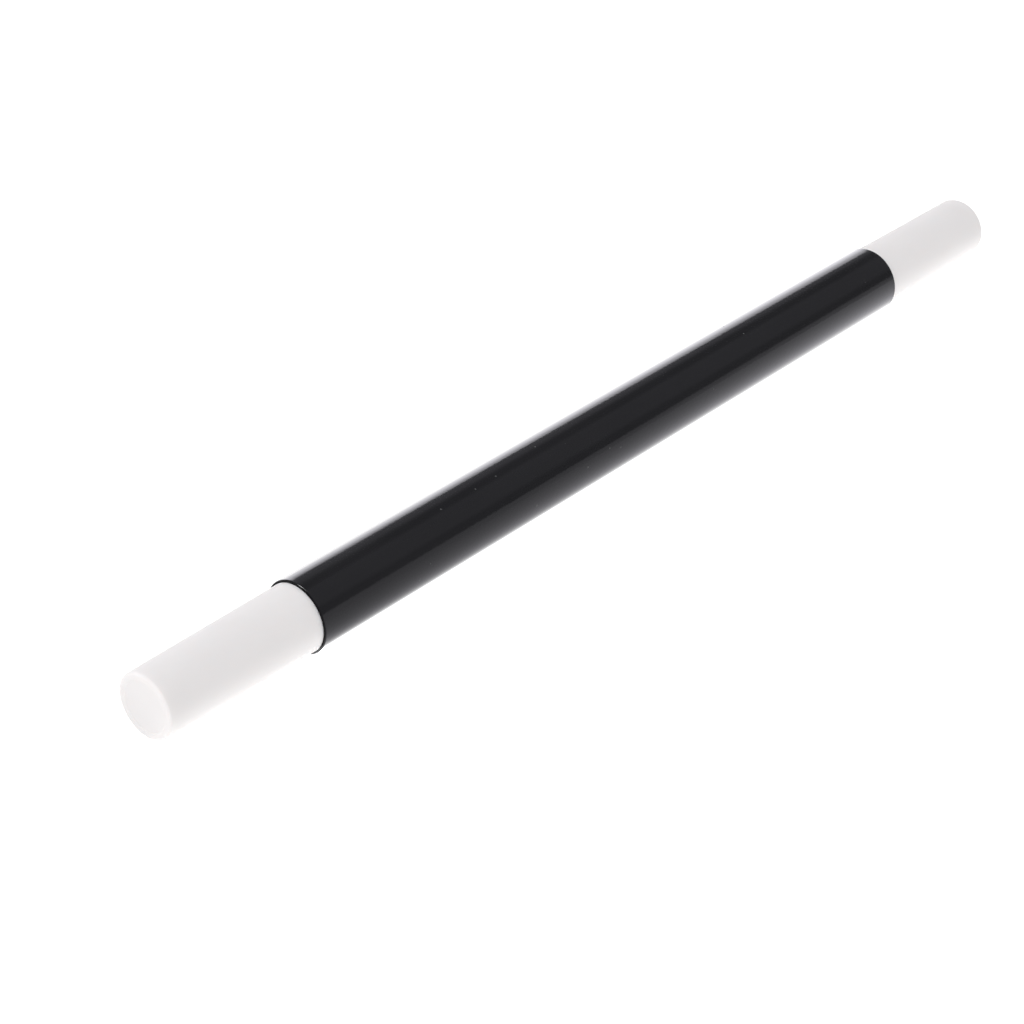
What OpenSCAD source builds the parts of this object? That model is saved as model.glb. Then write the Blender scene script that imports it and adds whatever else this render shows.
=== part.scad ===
// Magic wand: a hollow black tube with a white moulded tip plugged into each end.
// The wand lies along X, with the origin on its axis, half way between its ends.
// The two tips are one moulding, used twice. All sizes are in millimetres.

/* [Wand] */
// Length over both tips
wand_len = 255; // [230:1:300]

/* [Tube] */
// Outside diameter of the tube
tube_od = 15; // [14:0.5:20]
// Thickness of the tube's wall
tube_wall = 1; // [0.8:0.1:1.5]
// Radius of the rounded outer edge at each end of the tube
tube_edge_r = 0.2; // [0.1:0.05:0.4]
// Chamfer on the inner edge at each end of the tube
tube_mouth_chamfer = 0.15; // [0.05:0.05:0.2]

/* [Tips] */
// How far each tip stands out of the tube
tip_len = 37; // [25:0.5:50]
// Step down from the tube's surface to the widest part of the tip
tip_step = 0.5; // [0.4:0.05:0.7]
// Draft: how much the tip's radius drops from the tube to its free end
tip_draft = 0.35; // [0.1:0.05:0.8]
// Radius of the rounded edge at the free end
tip_edge_r = 0.6; // [0.4:0.1:1.2]
// Width of the flat rim round the recess in the free end
rim_w = 0.75; // [0.2:0.05:1.5]
// Depth of the recess in the free end
recess_depth = 0.12; // [0.08:0.04:0.96]
// Thickness of the closed end under the recess
end_wall = 1.6; // [1:0.1:3]

/* [Plug] */
// Length of the plug that goes into the tube
plug_len = 14; // [8:1:20]
// Radial gap between the plug's ribs and the tube's bore
fit_gap = 0.05; // [0.02:0.01:0.1]
// Thickness of the plug's wall, without its ribs
plug_wall = 1; // [0.7:0.1:1.4]
// Number of grip ribs along the plug
rib_count = 6; // [3:1:12]
// Width of a grip rib
rib_w = 0.9; // [0.5:0.1:1.5]
// Height of a grip rib
rib_h = 0.2; // [0.1:0.05:0.3]
// Length of the full collar next to the shoulder
collar_len = 2.5; // [1:0.5:4]

/* [Hidden] */
$fn = 96;

tube_len = wand_len - 2 * tip_len;
tube_r = tube_od / 2;
bore_r = tube_r - tube_wall;

// Outside of the tip: widest at the shoulder, narrowest at the free end.
shoulder_r = tube_r - tip_step;
free_r = shoulder_r - tip_draft;
draft_angle = atan(tip_draft / tip_len);
shoulder_edge = 0.1;

// Centre of the rounded edge, which touches the drafted side and the end face.
edge_centre_r = free_r - tip_edge_r * (1 - sin(draft_angle)) / cos(draft_angle);
edge_centre_z = tip_len - tip_edge_r;

// The recess is a flat disc inside the rim, with a sloping wall round it.
recess_r = edge_centre_r - rim_w;
recess_slope = 0.3;

// Plug: the collar and the ribs fit the bore, and the core stands clear of it.
plug_r = bore_r - fit_gap;
core_r = plug_r - rib_h;
lead_in_len = 1;
lead_in_r = 0.25;
rib_setback = 2;
rib_end = plug_len - rib_setback;
rib_root = 0.3;

// Hollow inside of the tip, open at the plug's mouth and drafted to its floor.
hollow_mouth_r = core_r - plug_wall;
hollow_draft = 0.25;
hollow_floor_r = hollow_mouth_r - hollow_draft;
hollow_floor_z = tip_len - recess_depth - end_wall;
hollow_corner = 0.6;

// Wall of the tube, with the axis along Z: rounded outside, chamfered in the mouths.
module tube_section() {
    z_end = tube_len / 2;
    difference() {
        union() {
            translate([bore_r, -z_end])
                square([tube_wall - tube_edge_r, tube_len]);
            translate([bore_r, tube_edge_r - z_end])
                square([tube_wall, tube_len - 2 * tube_edge_r]);
            for (side = [-1, 1])
                translate([tube_r - tube_edge_r, side * (z_end - tube_edge_r)])
                    circle(r = tube_edge_r);
        }
        for (side = [-1, 1])
            translate([bore_r, side * z_end])
                rotate(45)
                    square(sqrt(2) * tube_mouth_chamfer, center = true);
    }
}

// Wall of a tip, with the shoulder at height 0 and the free end up.
module tip_section() {
    polygon([
        [hollow_mouth_r, -plug_len],
        [core_r - lead_in_r, -plug_len],
        [core_r, lead_in_len - plug_len],
        [core_r, -collar_len - rib_h],
        [plug_r, -collar_len],
        [plug_r, 0],
        [shoulder_r - shoulder_edge, 0],
        [shoulder_r, shoulder_edge],
        [edge_centre_r + tip_edge_r * cos(draft_angle), edge_centre_z + tip_edge_r * sin(draft_angle)],
        [edge_centre_r, tip_len],
        [recess_r, tip_len],
        [recess_r - recess_slope, tip_len - recess_depth],
        [0, tip_len - recess_depth],
        [0, hollow_floor_z],
        [hollow_floor_r - hollow_corner, hollow_floor_z],
        [hollow_floor_r, hollow_floor_z - hollow_corner]
    ]);
    translate([edge_centre_r, edge_centre_z])
        circle(r = tip_edge_r);
}

// Grip ribs: flat bars through the axis, trimmed to the plug's outer radius.
module grip_ribs() {
    translate([0, 0, -rib_end])
        linear_extrude(height = rib_end - collar_len)
            difference() {
                intersection() {
                    circle(r = plug_r);
                    for (k = [0 : rib_count - 1])
                        rotate(k * 360 / rib_count)
                            translate([0, -rib_w / 2])
                                square([tube_r, rib_w]);
                }
                circle(r = core_r - rib_root);
            }
}

// One tip, with its shoulder on the YZ plane and its free end towards +X.
module tip() {
    rotate([0, 90, 0])
        union() {
            rotate_extrude()
                tip_section();
            grip_ribs();
        }
}

// Black tube, open at both ends.
module tube() {
    color("#1f1f21")
        rotate([0, 90, 0])
            rotate_extrude()
                tube_section();
}

// White tip plugged into the tube's +X end.
module right_tip() {
    color("#ebe9ea")
        translate([tube_len / 2, 0, 0])
            tip();
}

// White tip plugged into the tube's -X end.
module left_tip() {
    color("#ebe9ea")
        mirror([1, 0, 0])
            translate([tube_len / 2, 0, 0])
                tip();
}

tube();
left_tip();
right_tip();
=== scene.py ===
import math

import bmesh
import bpy
from mathutils import Matrix, Vector, noise


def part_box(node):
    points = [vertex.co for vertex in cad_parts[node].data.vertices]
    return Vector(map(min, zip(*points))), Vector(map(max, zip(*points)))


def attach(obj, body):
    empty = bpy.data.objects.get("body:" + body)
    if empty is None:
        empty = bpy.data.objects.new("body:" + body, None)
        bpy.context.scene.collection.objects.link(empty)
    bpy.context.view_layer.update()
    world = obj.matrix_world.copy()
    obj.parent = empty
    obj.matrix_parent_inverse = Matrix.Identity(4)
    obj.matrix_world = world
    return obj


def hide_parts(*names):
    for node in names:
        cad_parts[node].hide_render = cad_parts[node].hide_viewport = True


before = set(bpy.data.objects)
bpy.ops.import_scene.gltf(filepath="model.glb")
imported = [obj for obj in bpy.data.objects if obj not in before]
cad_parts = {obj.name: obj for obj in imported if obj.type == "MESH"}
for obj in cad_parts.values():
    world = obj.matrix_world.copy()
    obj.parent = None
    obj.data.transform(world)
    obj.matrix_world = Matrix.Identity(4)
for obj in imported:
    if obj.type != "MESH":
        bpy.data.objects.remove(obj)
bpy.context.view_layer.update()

# A magic wand: a glossy black tube with a satin white tip plugged into each end.
# The wand lies along X with its middle at the origin. Everything is in metres.

TUBE_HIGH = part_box("tube")[1]
TIP_LOW, TIP_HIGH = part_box("right_tip")
MM = 0.001

# Sizes that the CAD boxes give
TUBE_HALF = TUBE_HIGH.x
TUBE_R = TUBE_HIGH.z
TIP_LEN = TIP_HIGH.x - TUBE_HALF
PLUG_LEN = TUBE_HALF - TIP_LOW.x
SHOULDER_R = TIP_HIGH.z

# Tube: wall, rounded outer edge and inner chamfer
WALL = 1.0 * MM
BORE_R = TUBE_R - WALL
TUBE_EDGE_R = 0.2 * MM
MOUTH_CHAMFER = 0.15 * MM
EDGE_SUPPORT = 0.1 * MM

# Unevenness of the tube's outside. Each kind has a depth, the noise's cells in a metre of tube,
# and the radius, in cells, of the circle that goes once round the tube.
WAVE_DEPTH = 0.010 * MM
WAVE_ALONG = 16
WAVE_ROUND = 1.1
DIE_LINE_DEPTH = 0.0012 * MM
DIE_LINE_ALONG = 3
DIE_LINE_ROUND = 34

# The unevenness starts at this radius, part of the way round the tube's outer edge
OUTSIDE_FROM = TUBE_R - 0.6 * TUBE_EDGE_R

# Tip: draft, rounded edge, rim and recess of the closed end
TIP_DRAFT = 0.35 * MM
TIP_EDGE_R = 0.6 * MM
SHOULDER_EDGE = 0.1 * MM
RIM_W = 0.75 * MM
RECESS_DEPTH = 0.12 * MM
RECESS_SLOPE = 0.3 * MM
RECESS_FILLET = 0.15 * MM
END_WALL = 1.6 * MM

# Plug: collar, core and grip ribs. The ribs' start has a ring of points on each side of it.
FIT_GAP = 0.05 * MM
PLUG_R = BORE_R - FIT_GAP
RIB_COUNT = 6
RIB_W = 0.9 * MM
RIB_H = 0.2 * MM
RIB_FLANK = 0.12 * MM
RIB_SETBACK = 2.0 * MM
RIB_START_SUPPORT = (-0.02 * MM, 0.08 * MM)
COLLAR_LEN = 2.5 * MM
CORE_R = PLUG_R - RIB_H
LEAD_IN_LEN = 1.0 * MM
LEAD_IN_R = 0.25 * MM
PLUG_WALL = 1.0 * MM
HOLLOW_DRAFT = 0.25 * MM
HOLLOW_MOUTH_R = CORE_R - PLUG_WALL
HOLLOW_FLOOR_R = HOLLOW_MOUTH_R - HOLLOW_DRAFT
HOLLOW_CORNER = 0.6 * MM

# Mesh density
SEGMENTS = 240
STEP = 1.5 * MM
BORE_STEP = 4 * STEP
LEAD_IN_STEP = 0.5 * MM
ARC_STEPS = 8
EDGE_ARC_STEPS = 16
FILLET_STEPS = 6
SHARP_ANGLE = math.radians(35)

# How near a radius comes to the axis, or to the plug's core, to count as on it
ON_AXIS = 1e-9
ON_CORE = 0.01 * MM

# Camera, placed round the wand's middle
VIEW_AZIMUTH = math.radians(-48.96)
VIEW_ELEVATION = math.radians(31.43)
VIEW_DISTANCE = 544.9 * MM
MIDDLE_RIGHT = 20.36 * MM
MIDDLE_UP = 16.48 * MM
LENS_MM = 94.46


# ---------------------------------------------------------------- meshes

def arc(x, r, radius, start, end, steps=ARC_STEPS):
    """Points of an arc round (x, r) in a profile's half plane, angles in degrees from +x to +r."""
    angles = [math.radians(start + (end - start) * i / steps) for i in range(steps + 1)]
    return [(x + radius * math.cos(a), r + radius * math.sin(a)) for a in angles]


def spread(start, end, step):
    """Points from start to end, no further apart than step, without the two ends."""
    count = max(1, math.ceil(math.dist(start, end) / step))
    return [
        (start[0] + (end[0] - start[0]) * i / count, start[1] + (end[1] - start[1]) * i / count)
        for i in range(1, count)
    ]


def joined(points, steps):
    """The corner points, with extra points along each stretch that has a step."""
    out = [points[0]]
    for a, b, step in zip(points, points[1:], steps):
        if step:
            out += spread(a, b, step)
        out.append(b)
    return out


def turned_rings(profile, relief):
    """The vertices of a profile turned round X, and the vertex numbers of each point's ring."""
    verts = []
    rings = []
    for x, r in profile:
        first = len(verts)
        if r < ON_AXIS:
            verts.append((x, 0.0, 0.0))
        else:
            for k in range(SEGMENTS):
                angle = 2 * math.pi * k / SEGMENTS
                radius = r + relief(x, r, angle)
                verts.append((x, radius * math.cos(angle), radius * math.sin(angle)))
        rings.append(range(first, len(verts)))
    return verts, rings


def ring_faces(a, b):
    """The faces between two rings. A ring of one vertex is a point on the axis."""
    faces = []
    for k in range(SEGMENTS):
        after = (k + 1) % SEGMENTS
        if len(a) == 1:
            faces.append((a[0], b[after], b[k]))
        elif len(b) == 1:
            faces.append((a[k], a[after], b[0]))
        else:
            faces.append((a[k], a[after], b[after], b[k]))
    return faces


def smooth_shading(mesh):
    """Outward normals, smooth faces and crisp corners."""
    bm = bmesh.new()
    bm.from_mesh(mesh)
    bmesh.ops.recalc_face_normals(bm, faces=bm.faces)
    bm.to_mesh(mesh)
    bm.free()
    mesh.shade_smooth()
    mesh.set_sharp_from_angle(angle=SHARP_ANGLE)


def lathe(name, profile, closed, relief):
    """A piece turned from (x, r) points. relief(x, r, angle) gives each vertex a radial offset."""
    verts, rings = turned_rings(profile, relief)
    pairs = list(zip(rings, rings[1:]))
    if closed:
        pairs.append((rings[-1], rings[0]))
    faces = [face for a, b in pairs for face in ring_faces(a, b)]
    mesh = bpy.data.meshes.new(name)
    mesh.from_pydata(verts, [], faces)
    smooth_shading(mesh)
    return linked(name, mesh)


def linked(name, data):
    """A new object in the scene."""
    item = bpy.data.objects.new(name, data)
    bpy.context.scene.collection.objects.link(item)
    return item


def tube_profile():
    """Closed outline of the tube's wall, from the middle of its outside round the +X end and back."""
    end = TUBE_HALF
    half = joined([(0.0, TUBE_R), (end - TUBE_EDGE_R - EDGE_SUPPORT, TUBE_R)], [STEP])
    half += arc(end - TUBE_EDGE_R, TUBE_R - TUBE_EDGE_R, TUBE_EDGE_R, 90, 0)
    half += [
        (end, BORE_R + MOUTH_CHAMFER + EDGE_SUPPORT),
        (end, BORE_R + MOUTH_CHAMFER),
        (end - MOUTH_CHAMFER, BORE_R),
        (end - MOUTH_CHAMFER - EDGE_SUPPORT, BORE_R),
    ]
    half += spread(half[-1], (0.0, BORE_R), BORE_STEP)
    half.append((0.0, BORE_R))
    other_half = [(-x, r) for x, r in reversed(half[1:-1])]
    return half + other_half


def tube_relief(x, r, angle):
    """Die lines along the tube and a slight waviness, both cut into its outside."""
    if r < OUTSIDE_FROM:
        return 0.0
    y = math.cos(angle)
    z = math.sin(angle)
    wave = noise.noise(Vector((x * WAVE_ALONG, y * WAVE_ROUND, z * WAVE_ROUND)))
    line = noise.noise(Vector((x * DIE_LINE_ALONG, y * DIE_LINE_ROUND, z * DIE_LINE_ROUND)))
    return -WAVE_DEPTH * (1 + wave) - DIE_LINE_DEPTH * (1 + line)


def hollow_points(floor_x):
    """A tip's outline from the middle of the hollow's floor round the hollow's corner."""
    flat_r = HOLLOW_FLOOR_R - HOLLOW_CORNER
    points = [(floor_x, 0.0)] + spread((floor_x, 0.0), (floor_x, flat_r), STEP)
    return points + arc(floor_x - HOLLOW_CORNER, flat_r, HOLLOW_CORNER, 0, 90)


def plug_points(start):
    """A tip's outline after start: the hollow's wall, the plug's mouth and side, the shoulder.

    Each corner has the step of the points on the way to it, or 0 for none.
    """
    corners_and_steps = [
        ((-PLUG_LEN, HOLLOW_MOUTH_R), STEP),
        ((-PLUG_LEN, CORE_R - LEAD_IN_R), 0),
        ((LEAD_IN_LEN - PLUG_LEN, CORE_R), LEAD_IN_STEP),
        ((RIB_SETBACK - PLUG_LEN + RIB_START_SUPPORT[0], CORE_R), LEAD_IN_STEP),
        ((RIB_SETBACK - PLUG_LEN + RIB_START_SUPPORT[1], CORE_R), 0),
        ((-COLLAR_LEN - RIB_H, CORE_R), STEP),
        ((-COLLAR_LEN, PLUG_R), 0),
        ((0.0, PLUG_R), STEP),
        ((0.0, SHOULDER_R - SHOULDER_EDGE), 0),
        ((SHOULDER_EDGE, SHOULDER_R), 0),
        ((2 * SHOULDER_EDGE, SHOULDER_R), 0),
    ]
    corners = [corner for corner, step in corners_and_steps]
    steps = [step for corner, step in corners_and_steps]
    return joined([start] + corners, steps)[1:]


def free_end_points(start, recess_x):
    """A tip's outline after start: the drafted side, the rounded edge, the rim and the recess."""
    draft = math.atan2(TIP_DRAFT, TIP_LEN)
    edge_x = TIP_LEN - TIP_EDGE_R
    edge_r = SHOULDER_R - TIP_DRAFT - TIP_EDGE_R * (1 - math.sin(draft)) / math.cos(draft)
    side_end = (edge_x + TIP_EDGE_R * math.sin(draft), edge_r + TIP_EDGE_R * math.cos(draft))
    recess_r = edge_r - RIM_W
    floor_r = recess_r - RECESS_SLOPE
    tilt = math.degrees(math.atan2(RECESS_DEPTH, RECESS_SLOPE))
    points = spread(start, side_end, STEP)
    points += arc(edge_x, edge_r, TIP_EDGE_R, 90 - math.degrees(draft), 0, EDGE_ARC_STEPS)
    points += arc(TIP_LEN - RECESS_FILLET, recess_r, RECESS_FILLET, 0, -tilt, FILLET_STEPS)
    points += arc(recess_x + RECESS_FILLET, floor_r, RECESS_FILLET, 180 - tilt, 180, FILLET_STEPS)
    points += spread(points[-1], (recess_x, 0.0), STEP)
    return points + [(recess_x, 0.0)]


def tip_profile():
    """Outline of a tip, from the middle of its hollow round the plug to the middle of its recess."""
    recess_x = TIP_LEN - RECESS_DEPTH
    points = hollow_points(recess_x - END_WALL)
    points += plug_points(points[-1])
    return points + free_end_points(points[-1], recess_x)


def rib_relief(x, r, angle):
    """The grip ribs, which raise the plug's core to the collar's radius."""
    start = RIB_SETBACK - PLUG_LEN
    if not start < x < -COLLAR_LEN or abs(r - CORE_R) > ON_CORE:
        return 0.0
    pitch = 2 * math.pi / RIB_COUNT
    off = abs((angle + pitch / 2) % pitch - pitch / 2) * PLUG_R
    share = (RIB_W / 2 + RIB_FLANK / 2 - off) / RIB_FLANK
    return RIB_H * max(0.0, min(1.0, share))


# ---------------------------------------------------------------- shader graphs

class Graph:
    """A node tree, with one short call for each kind of node that the wand and the stage use."""

    def __init__(self, tree):
        self.nodes = tree.nodes
        self.links = tree.links

    def feed(self, socket, value):
        """Link an output to a socket, or set a number, or a colour of three numbers, on it."""
        if isinstance(value, bpy.types.NodeSocket):
            self.links.new(value, socket)
        elif isinstance(value, tuple):
            socket.default_value = (*value, 1.0)
        else:
            socket.default_value = value

    def axes(self, kind):
        """X, Y and Z of the Object or Generated coordinates."""
        coords = self.nodes.new("ShaderNodeTexCoord")
        split = self.nodes.new("ShaderNodeSeparateXYZ")
        self.links.new(coords.outputs[kind], split.inputs["Vector"])
        return split.outputs["X"], split.outputs["Y"], split.outputs["Z"]

    def scaled(self, scale):
        """Object coordinates times a scale for each axis."""
        coords = self.nodes.new("ShaderNodeTexCoord")
        mapping = self.nodes.new("ShaderNodeMapping")
        mapping.inputs["Scale"].default_value = scale
        self.links.new(coords.outputs["Object"], mapping.inputs["Vector"])
        return mapping.outputs["Vector"]

    def noise_value(self, scale, detail):
        """Noise from 0 to 1. The scale is the number of its cells in a metre of each axis."""
        texture = self.nodes.new("ShaderNodeTexNoise")
        texture.inputs["Scale"].default_value = 1.0
        texture.inputs["Detail"].default_value = detail
        self.links.new(self.scaled(scale), texture.inputs["Vector"])
        return texture.outputs["Fac"]

    def calculate(self, operation, a, b=0.0):
        node = self.nodes.new("ShaderNodeMath")
        node.operation = operation
        self.feed(node.inputs[0], a)
        self.feed(node.inputs[1], b)
        return node.outputs["Value"]

    def plus(self, a, b):
        return self.calculate("ADD", a, b)

    def times(self, a, b):
        return self.calculate("MULTIPLY", a, b)

    def larger(self, a, b):
        return self.calculate("MAXIMUM", a, b)

    def remap(self, value, low, high, to_low=0.0, to_high=1.0):
        """A value between low and high taken to a new range, and held at its ends."""
        node = self.nodes.new("ShaderNodeMapRange")
        node.inputs["From Min"].default_value = low
        node.inputs["From Max"].default_value = high
        node.inputs["To Min"].default_value = to_low
        node.inputs["To Max"].default_value = to_high
        self.links.new(value, node.inputs["Value"])
        return node.outputs["Result"]

    def mix(self, factor, a, b):
        """a where the factor is 0 and b where it is 1, for numbers."""
        node = self.nodes.new("ShaderNodeMix")
        self.links.new(factor, node.inputs["Factor"])
        self.feed(node.inputs[2], a)
        self.feed(node.inputs[3], b)
        return node.outputs[0]

    def mix_colour(self, factor, a, b):
        """a where the factor is 0 and b where it is 1, for colours."""
        node = self.nodes.new("ShaderNodeMix")
        node.data_type = "RGBA"
        self.links.new(factor, node.inputs["Factor"])
        self.feed(node.inputs[6], a)
        self.feed(node.inputs[7], b)
        return node.outputs[2]

    def bump(self, strength, distance, height):
        node = self.nodes.new("ShaderNodeBump")
        node.inputs["Strength"].default_value = strength
        node.inputs["Distance"].default_value = distance
        self.links.new(height, node.inputs["Height"])
        return node.outputs["Normal"]


def new_material(name):
    """A material with its graph and its main shader."""
    material = bpy.data.materials.new(name)
    material.use_nodes = True
    graph = Graph(material.node_tree)
    return material, graph, graph.nodes["Principled BSDF"]


# ---------------------------------------------------------------- the wand's two plastics

PLASTIC_IOR = 1.5

# Noises: the cells in a metre of each axis, and the detail
BLACK_CLOUDS = ((70, 140, 140), 3)
STREAKS = ((6, 900, 900), 2)
SMUDGES = ((35, 90, 90), 4)
PEEL = ((1300, 1700, 1700), 1)
NICKS = ((1500, 1500, 1500), 2)
WHITE_CLOUDS = ((60, 90, 90), 3)
WHITE_SMUDGES = ((120, 180, 180), 2)
GRAIN = ((900, 900, 900), 3)

# Black plastic. A bump is a strength and a height, and the other heights are multiples of it.
BLACK_TONES = ((0.0140, 0.0140, 0.0155), (0.0180, 0.0180, 0.0198))
BLACK_SHEEN = 0.5
SMUDGE_RANGE = (0.10, 0.45)
BLACK_ROUGHNESS = (0.07, 0.16)
BLACK_BUMP = (0.15, 0.01 * MM)
PEEL_HEIGHT = 6.0
NICK_HEIGHT = 14
NICKED = (TUBE_HALF - 1.2 * MM, TUBE_HALF - 0.3 * MM)

# The tube's cut ends: a duller face, and a darker colour that is painted shade where the tube meets a
# tip
# This colour is painted shade: the black ring of the end face at each joint
SAWN_SHADE_COLOUR = (0.006, 0.006, 0.007)
SAWN_SHEEN = 0.1
SAWN_SHADED_SPAN = (TUBE_HALF - 0.09 * MM, TUBE_HALF - 0.05 * MM)

# Dust: cells in a metre, the share of them that stay empty, and a speck's core and edge in cells
DUST_COLOUR = (0.080, 0.080, 0.080)
DUST_ROUGHNESS = 0.6
DUST_SCALE = (320, 320, 320)
EMPTY_SHARE = 0.66
SPECK = (0.03, 0.08)

# White plastic
WHITE_TONES = ((0.811, 0.788, 0.780), (0.841, 0.818, 0.810))
WHITE_SHEEN = 0.12
WHITE_SMUDGE_RANGE = (0.3, 0.7)
WHITE_ROUGHNESS = (0.66, 0.76)
WHITE_BUMP = (0.12, 0.02 * MM)
GLOW_SHARE = 0.5
GLOW_DEPTH = 2.0 * MM
GLOW_RADII = (1.0, 0.9, 0.85)


def dust_specks(graph):
    """1 on a few small specks: the cores of some cells of a cell pattern."""
    cells = graph.nodes.new("ShaderNodeTexVoronoi")
    cells.inputs["Scale"].default_value = 1.0
    graph.feed(cells.inputs["Vector"], graph.scaled(DUST_SCALE))
    core = graph.remap(cells.outputs["Distance"], *SPECK, 1, 0)
    lot = graph.nodes.new("ShaderNodeSeparateColor")
    graph.feed(lot.inputs["Color"], cells.outputs["Color"])
    return graph.times(core, graph.calculate("GREATER_THAN", lot.outputs["Red"], EMPTY_SHARE))


def black_height(graph, streak, dust, reach):
    """The black plastic's small heights: streaks, dust, nicks near the tube's ends, orange peel."""
    peel = graph.times(graph.noise_value(*PEEL), PEEL_HEIGHT)
    near_end = graph.remap(reach, *NICKED, 0, NICK_HEIGHT)
    nicks = graph.times(graph.noise_value(*NICKS), near_end)
    return graph.plus(graph.plus(graph.plus(streak, dust), nicks), peel)


def black_plastic():
    """Extruded gloss black plastic: streaks, smudges, orange peel, dust, and cut ends that are duller
    and painted darker as shade at the joints.
    """
    material, graph, shader = new_material("black_gloss_plastic")
    streak = graph.noise_value(*STREAKS)
    dust = dust_specks(graph)
    reach = graph.calculate("ABSOLUTE", graph.axes("Object")[0])
    # The tube's end faces: duller there, and painted darker as shade where the tips meet the tube
    sawn_and_shaded = graph.remap(reach, *SAWN_SHADED_SPAN)
    tone = graph.mix_colour(graph.noise_value(*BLACK_CLOUDS), *BLACK_TONES)
    dusty = graph.mix_colour(dust, tone, DUST_COLOUR)
    gloss = graph.times(graph.noise_value(*SMUDGES), streak)
    rough = graph.remap(gloss, *SMUDGE_RANGE, *BLACK_ROUGHNESS)
    height = black_height(graph, streak, dust, reach)
    graph.feed(shader.inputs["Base Color"], graph.mix_colour(sawn_and_shaded, dusty, SAWN_SHADE_COLOUR))
    graph.feed(shader.inputs["Roughness"], graph.larger(rough, graph.times(dust, DUST_ROUGHNESS)))
    graph.feed(shader.inputs["Normal"], graph.bump(*BLACK_BUMP, height))
    graph.feed(shader.inputs["IOR"], PLASTIC_IOR)
    graph.feed(shader.inputs["Specular IOR Level"], graph.mix(sawn_and_shaded, BLACK_SHEEN, SAWN_SHEEN))
    return material


def white_plastic():
    """Moulded satin white plastic with a fine grain and a faint unevenness of tone."""
    material, graph, shader = new_material("white_satin_plastic")
    tone = graph.mix_colour(graph.noise_value(*WHITE_CLOUDS), *WHITE_TONES)
    smudge = graph.noise_value(*WHITE_SMUDGES)
    rough = graph.remap(smudge, *WHITE_SMUDGE_RANGE, *WHITE_ROUGHNESS)
    graph.feed(shader.inputs["Base Color"], tone)
    graph.feed(shader.inputs["Roughness"], rough)
    graph.feed(shader.inputs["Normal"], graph.bump(*WHITE_BUMP, graph.noise_value(*GRAIN)))
    graph.feed(shader.inputs["IOR"], PLASTIC_IOR)
    graph.feed(shader.inputs["Specular IOR Level"], WHITE_SHEEN)
    graph.feed(shader.inputs["Subsurface Weight"], GLOW_SHARE)
    graph.feed(shader.inputs["Subsurface Scale"], GLOW_DEPTH)
    shader.inputs["Subsurface Radius"].default_value = GLOW_RADII
    return material


# ---------------------------------------------------------------- pieces

def build_tube(material):
    piece = lathe("tube_shell", tube_profile(), closed=True, relief=tube_relief)
    piece.data.materials.append(material)
    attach(piece, "tube")
    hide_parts("tube")


def build_tip(name, node, side, material):
    """side is 1 for the tip at the +X end and -1 for the one at the -X end."""
    piece = lathe(name, tip_profile(), closed=False, relief=rib_relief)
    piece.data.transform(Matrix.Translation((TUBE_HALF, 0, 0)))
    if side < 0:
        piece.data.transform(Matrix.Rotation(math.pi, 4, "Z"))
    piece.data.materials.append(material)
    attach(piece, node)
    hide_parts(node)


# ---------------------------------------------------------------- camera

def view_axes():
    """The camera's right, up and back directions."""
    flat = math.cos(VIEW_ELEVATION)
    back = Vector((
        math.sin(VIEW_AZIMUTH) * flat,
        -math.cos(VIEW_AZIMUTH) * flat,
        math.sin(VIEW_ELEVATION),
    ))
    right = Vector((math.cos(VIEW_AZIMUTH), math.sin(VIEW_AZIMUTH), 0))
    return right, back.cross(right), back


def build_camera():
    right, up, back = view_axes()
    data = bpy.data.cameras.new("camera")
    data.lens = LENS_MM
    data.clip_start = 10 * MM
    camera = linked("camera", data)
    camera.location = back * VIEW_DISTANCE - right * MIDDLE_RIGHT - up * MIDDLE_UP
    camera.rotation_euler = Matrix((right, up, back)).transposed().to_euler()
    bpy.context.scene.camera = camera


# ---------------------------------------------------------------- stage

# The stage glows by itself and stays white. Each kind of ray meets its own brightness: what the
# camera sees, the soft light that falls on the wand, and what the wand's gloss reflects.
FLOOR_RADIUS = 8.0
FLOOR_SIDES = 96
FLOOR_PAINT = (0.12, 0.12, 0.12)
FLOOR_ROUGHNESS = 0.9
FLOOR_SEEN = 1.15

# The floor as gloss reflects it, left and right: its level far away, its rise towards the wand,
# and on the left a last rise at the wand's foot. Behind the wand it goes from dim to bright.
CLOSEST = 5 * MM
LEFT_FAR = 0.33
LEFT_RISE = 0.6
LEFT_FOOT = 0.9
FOOT_POWER = 4
RIGHT_FAR = 0.62
RIGHT_RISE = 1.75
LEFT_TO_RIGHT = (-90 * MM, 100 * MM)
SLANT = 0.85
FRONT_TO_BACK = (-2 * MM, 0)
BEHIND_SPAN = (8 * MM, 50 * MM)
BEHIND_LEVELS = (0.2, 2.7)
GLOSS_TINT = (0.99, 0.975, 1.035)
PLAIN_GLOSS_TINT = (0.995, 0.988, 1.003)
PLAIN_STEEPNESS = (0.75, 1.0)

# The floor's soft light
LIT_SPAN = (-100 * MM, 100 * MM)
LIT_LEVELS = (1.22, 1.33)
SHADED_LEVEL = 0.85
LEFT_END_SPAN = (-150 * MM, -128 * MM)
RIGHT_END_SPAN = (128 * MM, 150 * MM)
SOFT_TINT = (0.990, 0.986, 0.987)

PANEL_TINT = (0.985, 0.970, 1.030)
PANEL_SOFT_SHARE = 0.25
PANEL_FADE = (0.4, 1)

# The surround. A band is a start, an end and a soft edge in degrees, and a level.
SKY_TINT = (0.985, 0.985, 1.0)
SKY_GLOSS_TINT = (0.985, 0.968, 1.055)
SKY_SOFT = 0.64
SKY_GLOSS = 0.05
CEILING = (36, 95, 6, 0.11)
BACK_WALL = (124, 175, 8, 0.20)
BACKDROP_SPAN = (0, 0.6)
BACKDROP_LEVELS = (1.0, 0.85)

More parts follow.
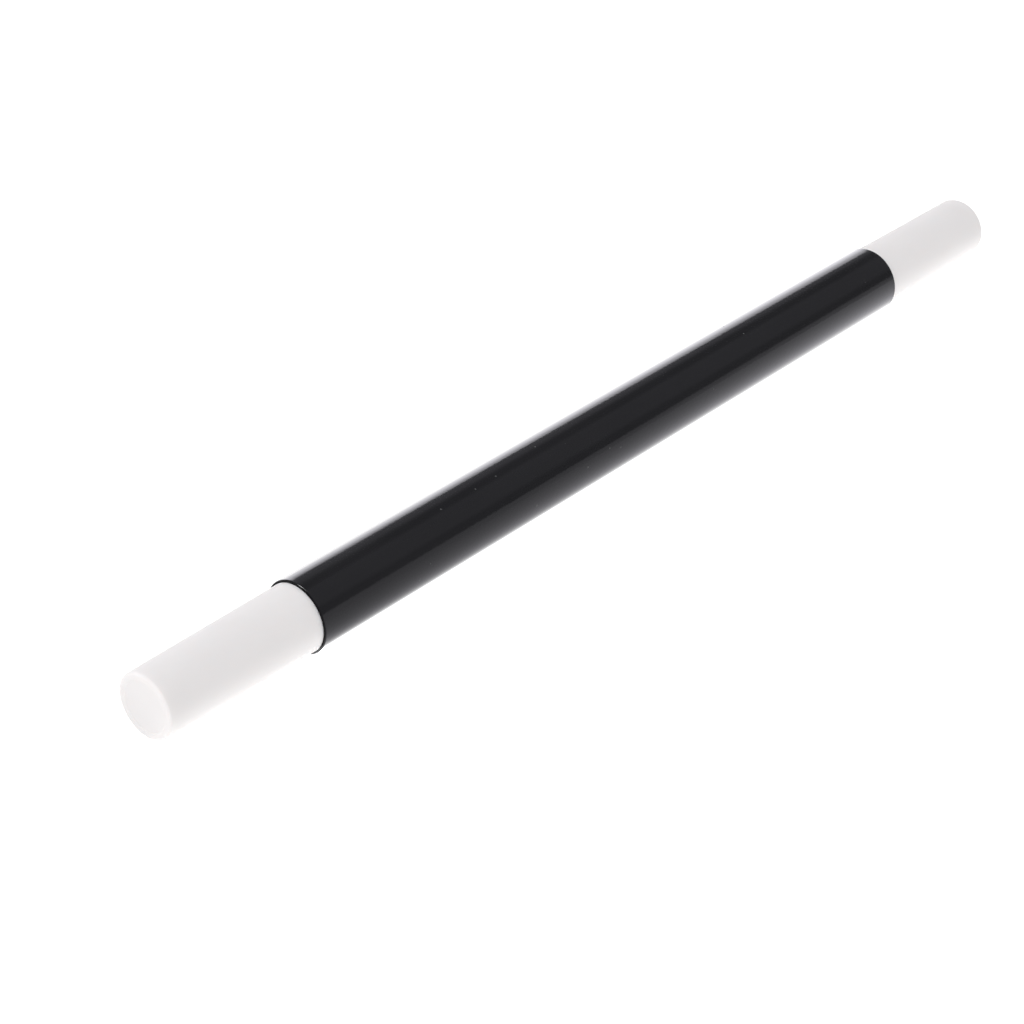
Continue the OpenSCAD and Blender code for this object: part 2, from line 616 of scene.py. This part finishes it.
KEY_TINT = (0.985, 0.985, 1.0)
FILL_TINT = (0.98, 0.985, 1.0)


def stage_mesh(name, verts, material):
    """One flat face that belongs to the stage."""
    mesh = bpy.data.meshes.new(name)
    mesh.from_pydata(verts, [], [tuple(range(len(verts)))])
    mesh.materials.append(material)
    item = linked(name, mesh)
    return item


def is_ray(graph, kind):
    """1 for Camera, Glossy or Diffuse rays and 0 for the others."""
    return graph.nodes.new("ShaderNodeLightPath").outputs[f"Is {kind} Ray"]


def floor_steepness(graph, y):
    """How steeply the floor at y is seen from the wand's surface: large close to the wand."""
    off = graph.larger(graph.calculate("ABSOLUTE", y), CLOSEST)
    return graph.calculate("DIVIDE", TUBE_R, off)


def floor_reflected(graph, x, y, steep, back_half):
    """What gloss reflects: a floor that is brightest at the wand's foot and far behind it."""
    foot = graph.times(graph.calculate("POWER", steep, FOOT_POWER), LEFT_FOOT)
    left = graph.plus(graph.plus(graph.times(steep, LEFT_RISE), LEFT_FAR), foot)
    right = graph.plus(graph.times(steep, RIGHT_RISE), RIGHT_FAR)
    slant = graph.plus(graph.times(y, SLANT), x)
    front = graph.mix(graph.remap(slant, *LEFT_TO_RIGHT), left, right)
    behind = graph.remap(y, *BEHIND_SPAN, *BEHIND_LEVELS)
    return graph.mix(back_half, front, behind)


def floor_soft_light(graph, x, back_half):
    """What falls on the wand: less from behind it, up to its left end, and from past its right end."""
    beside = graph.remap(x, *LEFT_END_SPAN)
    past_end = graph.remap(x, *RIGHT_END_SPAN)
    shaded = graph.larger(graph.times(back_half, beside), past_end)
    return graph.mix(shaded, graph.remap(x, *LIT_SPAN, *LIT_LEVELS), SHADED_LEVEL)


def floor_tint(graph, steep, back_half, glossy):
    """A cool reflection, which turns plain where it is brightest, and a faintly warm soft light."""
    plain = graph.larger(back_half, graph.remap(steep, *PLAIN_STEEPNESS))
    reflected = graph.mix_colour(plain, GLOSS_TINT, PLAIN_GLOSS_TINT)
    return graph.mix_colour(glossy, SOFT_TINT, reflected)


def floor_material():
    """White floor with its own glow."""
    material, graph, shader = new_material("floor_white")
    material.cycles.emission_sampling = "NONE"
    x, y = graph.axes("Object")[:2]
    glossy = is_ray(graph, "Glossy")
    steep = floor_steepness(graph, y)
    back_half = graph.remap(y, *FRONT_TO_BACK)
    reflected = floor_reflected(graph, x, y, steep, back_half)
    soft = floor_soft_light(graph, x, back_half)
    unreflected = graph.mix(is_ray(graph, "Camera"), soft, FLOOR_SEEN)
    graph.feed(shader.inputs["Base Color"], FLOOR_PAINT)
    graph.feed(shader.inputs["Roughness"], FLOOR_ROUGHNESS)
    graph.feed(shader.inputs["Specular IOR Level"], 0.0)
    graph.feed(shader.inputs["Emission Color"], floor_tint(graph, steep, back_half, glossy))
    graph.feed(shader.inputs["Emission Strength"], graph.mix(glossy, unreflected, reflected))
    return material


def build_floor():
    """A round floor that the wand lies on."""
    angles = [2 * math.pi * k / FLOOR_SIDES for k in range(FLOOR_SIDES)]
    rim = [(FLOOR_RADIUS * math.cos(a), FLOOR_RADIUS * math.sin(a), -TUBE_R) for a in angles]
    stage_mesh("floor", rim, floor_material())


def panel_material(name, low, high):
    """A lit panel whose brightness goes from low to high up its height."""
    material, graph, unwanted = new_material(name)
    material.cycles.emission_sampling = "NONE"
    graph.nodes.remove(unwanted)
    shader = graph.nodes.new("ShaderNodeEmission")
    share = graph.remap(is_ray(graph, "Diffuse"), 0, 1, 1, PANEL_SOFT_SHARE)
    level = graph.remap(graph.axes("Generated")[2], *PANEL_FADE, low, high)
    graph.feed(shader.inputs["Strength"], graph.times(level, share))
    graph.feed(shader.inputs["Color"], PANEL_TINT)
    graph.feed(graph.nodes["Material Output"].inputs["Surface"], shader.outputs["Emission"])
    return material


def build_panel(name, azimuth, distance, width, top, levels):
    """An upright panel on the floor that faces the wand. Azimuth is from +X to +Y, in degrees.

    The levels are its brightness low down and at its top.
    """
    angle = math.radians(azimuth)
    out = Vector((math.cos(angle), math.sin(angle), 0)) * distance
    side = Vector((-math.sin(angle), math.cos(angle), 0)) * (width / 2)
    low = Vector((0, 0, -TUBE_R))
    high = Vector((0, 0, top))
    corners = [out - side + low, out + side + low, out + side + high, out - side + high]
    panel = stage_mesh(f"{name}_panel", corners, panel_material(f"{name}_glow", *levels))
    panel.visible_camera = False
    panel.visible_shadow = False
    return panel


def build_softbox(name, position, size, power, tint=(1, 1, 1)):
    """A rectangular lamp that faces the wand."""
    data = bpy.data.lights.new(name, "AREA")
    data.shape = "RECTANGLE"
    data.size, data.size_y = size
    data.energy = power
    data.color = tint
    lamp = linked(name, data)
    lamp.location = position
    lamp.rotation_euler = Vector(position).to_track_quat("Z", "Y").to_euler()
    lamp.visible_camera = False
    return lamp


def band(graph, turn, low, high, soft, level):
    """A level between two angles in degrees, with soft edges."""
    rise = graph.remap(turn, math.radians(low - soft), math.radians(low + soft))
    fall = graph.remap(turn, math.radians(high - soft), math.radians(high + soft), level, 0)
    return graph.times(rise, fall)


def build_surround():
    """An even pale surround. Reflections see a dim studio with a ceiling and a lighter back wall."""
    world = bpy.data.worlds.new("studio")
    world.cycles.sampling_method = "NONE"
    world.use_nodes = True
    bpy.context.scene.world = world
    graph = Graph(world.node_tree)
    y, z = graph.axes("Generated")[1:]
    turn = graph.calculate("ARCTAN2", z, graph.times(y, -1))
    rooms = graph.plus(band(graph, turn, *CEILING), band(graph, turn, *BACK_WALL))
    reflected = graph.plus(rooms, SKY_GLOSS)
    backdrop = graph.remap(z, *BACKDROP_SPAN, *BACKDROP_LEVELS)
    unreflected = graph.mix(is_ray(graph, "Camera"), SKY_SOFT, backdrop)
    glossy = is_ray(graph, "Glossy")
    sky = graph.nodes["Background"]
    graph.feed(sky.inputs["Strength"], graph.mix(glossy, unreflected, reflected))
    graph.feed(sky.inputs["Color"], graph.mix_colour(glossy, SKY_TINT, SKY_GLOSS_TINT))


def build_studio():
    build_floor()
    build_surround()
    build_panel("back", azimuth=41, distance=0.783, width=3.0, top=0.338, levels=(2.9, 1.6))
    front = build_panel("front", azimuth=-90, distance=1.0, width=4.0, top=0.22, levels=(0.45, 0.35))
    front.visible_diffuse = False
    build_softbox("key", (-0.6, 0.4, 1.65), size=(0.8, 1.0), power=12.4, tint=KEY_TINT)
    glint = build_softbox("glint", (-0.9, 0.6, 1.6), size=(0.4, 1.0), power=26.0)
    glint.visible_diffuse = False
    build_softbox("left_fill", (-1.2, -0.15, 0.35), size=(0.5, 0.5), power=0.7, tint=FILL_TINT)


def use_plain_colours():
    """Colours go to the picture as they are, with no film curve."""
    settings = bpy.context.scene.view_settings
    settings.view_transform = "Standard"
    settings.look = "None"


build_tube(black_plastic())
white = white_plastic()
build_tip("left_tip_shell", "left_tip", -1, white)
build_tip("right_tip_shell", "right_tip", 1, white)
build_studio()
build_camera()
use_plain_colours()
